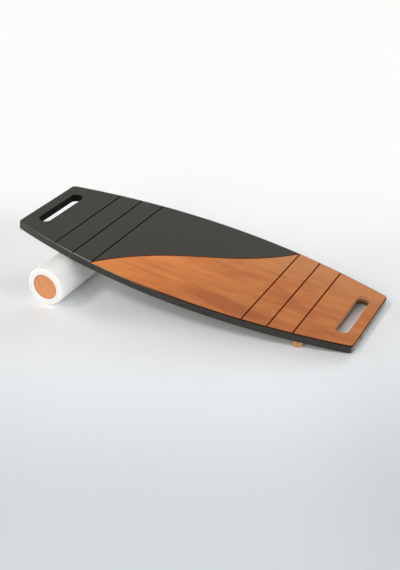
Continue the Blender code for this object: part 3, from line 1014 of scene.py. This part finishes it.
def thread_radius(rails, height, taper):
    """A thread's radius at this height on its screw, as a function of the angle."""
    ridge_reach = 0.3

    def radius(angle):
        turn = (height / rails.thread_pitch - angle / math.tau) % 1
        ridge = max(0.0, 1 - abs(turn - 0.5) / ridge_reach)
        return (rails.core_radius + (rails.thread_radius - rails.core_radius) * ridge) * taper

    return radius


def screw_mesh(rails, deck):
    """A countersunk wood screw that points down Z, with a driver's cross in its head."""
    length = screw_length(rails, deck)
    neck_end = length * 0.4
    steps_per_turn = 9
    bluntness = 0.04
    cross_narrows_to = 0.55
    # The rim of the head's face is eased
    rings = [
        (-0.00008, rails.head_radius * 0.94),
        (-0.0002, rails.head_radius),
        (-rails.head_rim, rails.head_radius),
        (-rails.head_height, rails.shank_radius),
        (-neck_end, rails.shank_radius),
    ]
    rows = round((length - neck_end) / rails.thread_pitch * steps_per_turn)
    for i in range(1, rows + 1):
        down = neck_end + (length - neck_end) * i / rows
        taper = min(1.0, max(bluntness, (length - down) / rails.point))
        rings.append((-down, thread_radius(rails, -down, taper)))
    cross = slab_mesh("recess", cross_outline(rails), 2 * rails.recess_depth)
    for vertex in cross.vertices:
        if vertex.co.z < 0:
            vertex.co.xy *= cross_narrows_to
    made = cut_mesh("screw", ringed_mesh("screw", rings, steps=28), [cross])
    made.materials.clear()
    return made


def cross_outline(rails):
    """Four arms that narrow a little to their tips."""
    arm = rails.recess_span / 2
    side = rails.recess_width / 2
    tip = side * 0.7
    corners = [(arm, -tip), (arm, tip), (side, side)]
    outline = []
    for _ in range(4):
        outline += corners
        corners = [(-y, x) for x, y in corners]
    return outline


class ROLLERBOARD_OT_rails(Operator):
    """Make the two stop rails, drilled and countersunk for their screws"""

    bl_idname = "roller_board.rails"
    bl_label = "Stop Rails"

    def execute(self, context):
        deck = context.scene.roller_board_deck
        rails = context.scene.roller_board_rails
        material = rail_wood(rails)
        for name, side in (("left_rail", -1), ("right_rail", 1)):
            x, y = rail_place(rails, deck, side)
            outline = stadium(0, rail_half_length(rails, deck), rails.width / 2)
            slab = slab_mesh(name, outline, rails.height, rails.round_over, steps=4)
            slab.transform(Matrix.Translation((x, y, rail_underside(rails, deck) + rails.height / 2)))
            slab.materials.append(material)
            mesh = cut_mesh(name, slab, [screw_hole_cutters(rails, deck, material)])
            node = name.replace("_rail", "_stop_rail")
            finish_piece(name, mesh, DECK_PLACE, "deck", [node])
        return {"FINISHED"}


class ROLLERBOARD_OT_screws(Operator):
    """Make the countersunk wood screws that hold the rails"""

    bl_idname = "roller_board.screws"
    bl_label = "Screws"

    def execute(self, context):
        deck = context.scene.roller_board_deck
        rails = context.scene.roller_board_rails
        screw = new_guide("screw", screw_mesh(rails, deck))
        mesh = screws_on_rails(rails, deck, screw, zinc_plate(rails))
        bpy.data.objects.remove(screw)
        sides = ("left", "right")
        nodes = [f"{side}_stop_rail_screw_{n}" for side in sides for n in range(1, rails.screws + 1)]
        finish_piece("rail_screws", mesh, DECK_PLACE, "deck", nodes)
        return {"FINISHED"}


# Roller


def on_roller_axis(y=0.0):
    """A place this far behind the roller's middle, for a mesh turned about Z."""
    return Matrix.Translation(ROLLER_MIDDLE + Vector((0, y, 0))) @ Matrix.Rotation(math.pi / 2, 4, "X")


class ROLLERBOARD_OT_tube(Operator):
    """Make the roller's tube"""

    bl_idname = "roller_board.tube"
    bl_label = "Roller Tube"

    def execute(self, context):
        roller = context.scene.roller_board_roller
        mesh = turned_tube(roller, white_tube(roller))
        finish_piece("tube", mesh, on_roller_axis(), "roller", ["roller_tube"])
        return {"FINISHED"}


class ROLLERBOARD_OT_plugs(Operator):
    """Make the wooden plug in each end of the tube"""

    bl_idname = "roller_board.plugs"
    bl_label = "End Plugs"

    def execute(self, context):
        roller = context.scene.roller_board_roller
        material = plug_wood(roller)
        edge = roller.bore_radius - CLEARANCE - roller.plug_round
        half = roller.plug_length / 2
        flat = half - roller.plug_round
        outer = arc(edge, flat, roller.plug_round, math.pi / 2, 0, 6)
        outer += arc(edge, -flat, roller.plug_round, 0, -math.pi / 2, 6)
        rings = [(height, radius) for radius, height in outer]
        reach = roller.length / 2 - roller.plug_set_in - half
        ends = (("front_plug", -reach, "roller_carriage"), ("rear_plug", reach, "roller_hub"))
        for name, y, body in ends:
            node = name.replace("_plug", "_end_plug")
            mesh = ringed_mesh(name, rings, steps=128)
            mesh.materials.append(material)
            finish_piece(name, mesh, on_roller_axis(y), body, [node])
        return {"FINISHED"}


# Stage


def light_world():
    """A world that gives no light of its own, but which the camera and mirrors see as plain white."""
    world = bpy.data.worlds.new("studio")
    bpy.context.scene.world = world
    world.use_nodes = True
    sky = Wiring(world.node_tree)
    path = sky.add("ShaderNodeLightPath", {}).outputs
    seen = sky.math("MAXIMUM", path["Is Camera Ray"], path["Is Glossy Ray"])
    seen = sky.math("MAXIMUM", seen, path["Is Transmission Ray"])
    background = sky.tree.nodes["Background"]
    background.inputs["Color"].default_value = (1, 1, 1, 1)
    sky.feed(background.inputs["Strength"], seen)


def add_lamp(name, azimuth, elevation, strength, colour, breadth=BROAD, diffuse=True, glossy=True):
    """A far and soft light. Azimuth 0 is in front of the board, and 90 is to its right.

    One that isn't diffuse gives only a highlight, and one that isn't glossy gives none.
    """
    lamp = bpy.data.lights.new(name, "SUN")
    lamp.energy = strength
    lamp.angle = breadth
    lamp.color = colour
    holder = new_guide(name, lamp)
    holder.visible_diffuse = diffuse
    holder.visible_glossy = glossy
    turn = Matrix.Rotation(math.radians(azimuth), 4, "Z")
    holder.matrix_world = turn @ Matrix.Rotation(math.radians(90 - elevation), 4, "X")


class ROLLERBOARD_OT_stage(Operator):
    """Make the floor, the lights and the camera"""

    bl_idname = "roller_board.stage"
    bl_label = "Stage"

    def execute(self, context):
        stage = context.scene.roller_board_stage
        half = stage.floor_size / 2
        corners = [(-half, -half, 0), (half, -half, 0), (half, half, 0), (-half, half, 0)]
        mesh = bpy.data.meshes.new("floor")
        mesh.from_pydata(corners, [], [(0, 1, 2, 3)])
        mesh.materials.append(studio_floor(stage))
        new_guide("floor", mesh)
        light_world()
        warm, plain, cool = (1.0, 0.95, 0.89), (1.0, 0.99, 0.975), (0.96, 0.985, 1.0)
        add_lamp("front_light", 0, 25, stage.front_light, warm)
        add_lamp("side_light", 315, 50, stage.side_light, plain, breadth=NARROW)
        add_lamp("rim_light", 308, 50, stage.rim_light, plain, breadth=NARROW / 2, diffuse=False)
        add_lamp("left_light", 270, 12, stage.left_light, plain)
        add_lamp("right_light", 90, 12, stage.right_light, cool)
        add_lamp("back_light", 180, 12, stage.back_light, cool, glossy=False)
        add_lamp("top_light", 180, 50, stage.top_light, cool, glossy=False)

        camera = bpy.data.cameras.new("camera")
        camera.lens = stage.lens
        holder = new_guide("camera", camera)
        turn = Matrix.Rotation(stage.azimuth, 4, "Z")
        turn @= Matrix.Rotation(math.pi / 2 - stage.elevation, 4, "X")
        turn @= Matrix.Rotation(stage.roll, 4, "Z")
        look_at = Matrix.Translation((stage.look_at_x, stage.look_at_y, 0))
        holder.matrix_world = look_at @ turn @ Matrix.Translation((0, 0, stage.distance))
        context.scene.camera = holder
        context.scene.view_settings.view_transform = "Standard"
        return {"FINISHED"}


# Add-on


OPERATORS = (
    ROLLERBOARD_OT_stage,
    ROLLERBOARD_OT_deck,
    ROLLERBOARD_OT_rails,
    ROLLERBOARD_OT_screws,
    ROLLERBOARD_OT_tube,
    ROLLERBOARD_OT_plugs,
)

SETTINGS = {
    "roller_board_deck": DeckSettings,
    "roller_board_rails": RailSettings,
    "roller_board_roller": RollerSettings,
    "roller_board_stage": StageSettings,
}


class ROLLERBOARD_PT_panel(Panel):
    """Lists the pieces and their settings"""

    bl_idname = "ROLLERBOARD_PT_panel"
    bl_label = "Roller Board"
    bl_space_type = "VIEW_3D"
    bl_region_type = "UI"
    bl_category = "Roller Board"

    def draw(self, context):
        for kind in OPERATORS:
            self.layout.operator(kind.bl_idname)
        for name, kind in SETTINGS.items():
            box = self.layout.box()
            box.label(text=kind.__doc__)
            for setting in kind.__annotations__:
                box.prop(getattr(context.scene, name), setting)


def register():
    for kind in (*SETTINGS.values(), *OPERATORS, ROLLERBOARD_PT_panel):
        bpy.utils.register_class(kind)
    for name, kind in SETTINGS.items():
        setattr(bpy.types.Scene, name, PointerProperty(type=kind))


def unregister():
    for name in SETTINGS:
        delattr(bpy.types.Scene, name)
    for kind in (ROLLERBOARD_PT_panel, *reversed(OPERATORS), *reversed(SETTINGS.values())):
        bpy.utils.unregister_class(kind)


def main():
    register()
    bpy.ops.roller_board.stage()
    bpy.ops.roller_board.deck()
    bpy.ops.roller_board.rails()
    bpy.ops.roller_board.screws()
    bpy.ops.roller_board.tube()
    bpy.ops.roller_board.plugs()


if __name__ == "__main__":
    main()
